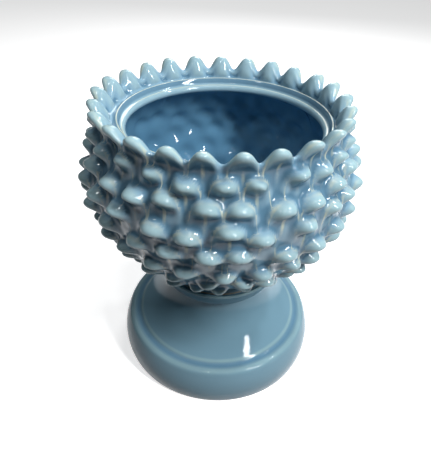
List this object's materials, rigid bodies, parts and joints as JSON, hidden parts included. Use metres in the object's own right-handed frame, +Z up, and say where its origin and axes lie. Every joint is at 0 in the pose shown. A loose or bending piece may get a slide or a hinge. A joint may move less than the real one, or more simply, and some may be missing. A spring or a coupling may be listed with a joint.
{
  "type": "jardiniere on stand",
  "caption": "Glazed earthenware plant pot cased in rows of overlapping leaf scales, standing loose in the cupped collar of a hollow, waisted stand.",
  "frame": {"origin": "centre of the stand's foot, on the floor", "axes": "+Z up along the stand's axis; -Y faces the front, and +X is to the right seen from there"},
  "size_m": [0.2864, 0.2867, 0.3197],
  "materials": {
    "stand_glaze": "gloss duck-egg blue glaze over cream slip",
    "pot_glaze": "gloss duck-egg blue glaze, cream where it breaks over edges, deeper blue where it pools"
  },
  "bodies": {
    "stand": {"stand": "stand_glaze"},
    "pot": {"pot": "pot_glaze"}
  },
  "joints": [
    {"name": "pot_lift", "type": "slide", "parent": "stand", "child": "pot", "axis": [0, 0, 1], "range_m": [0, 0.12]}
  ]
}
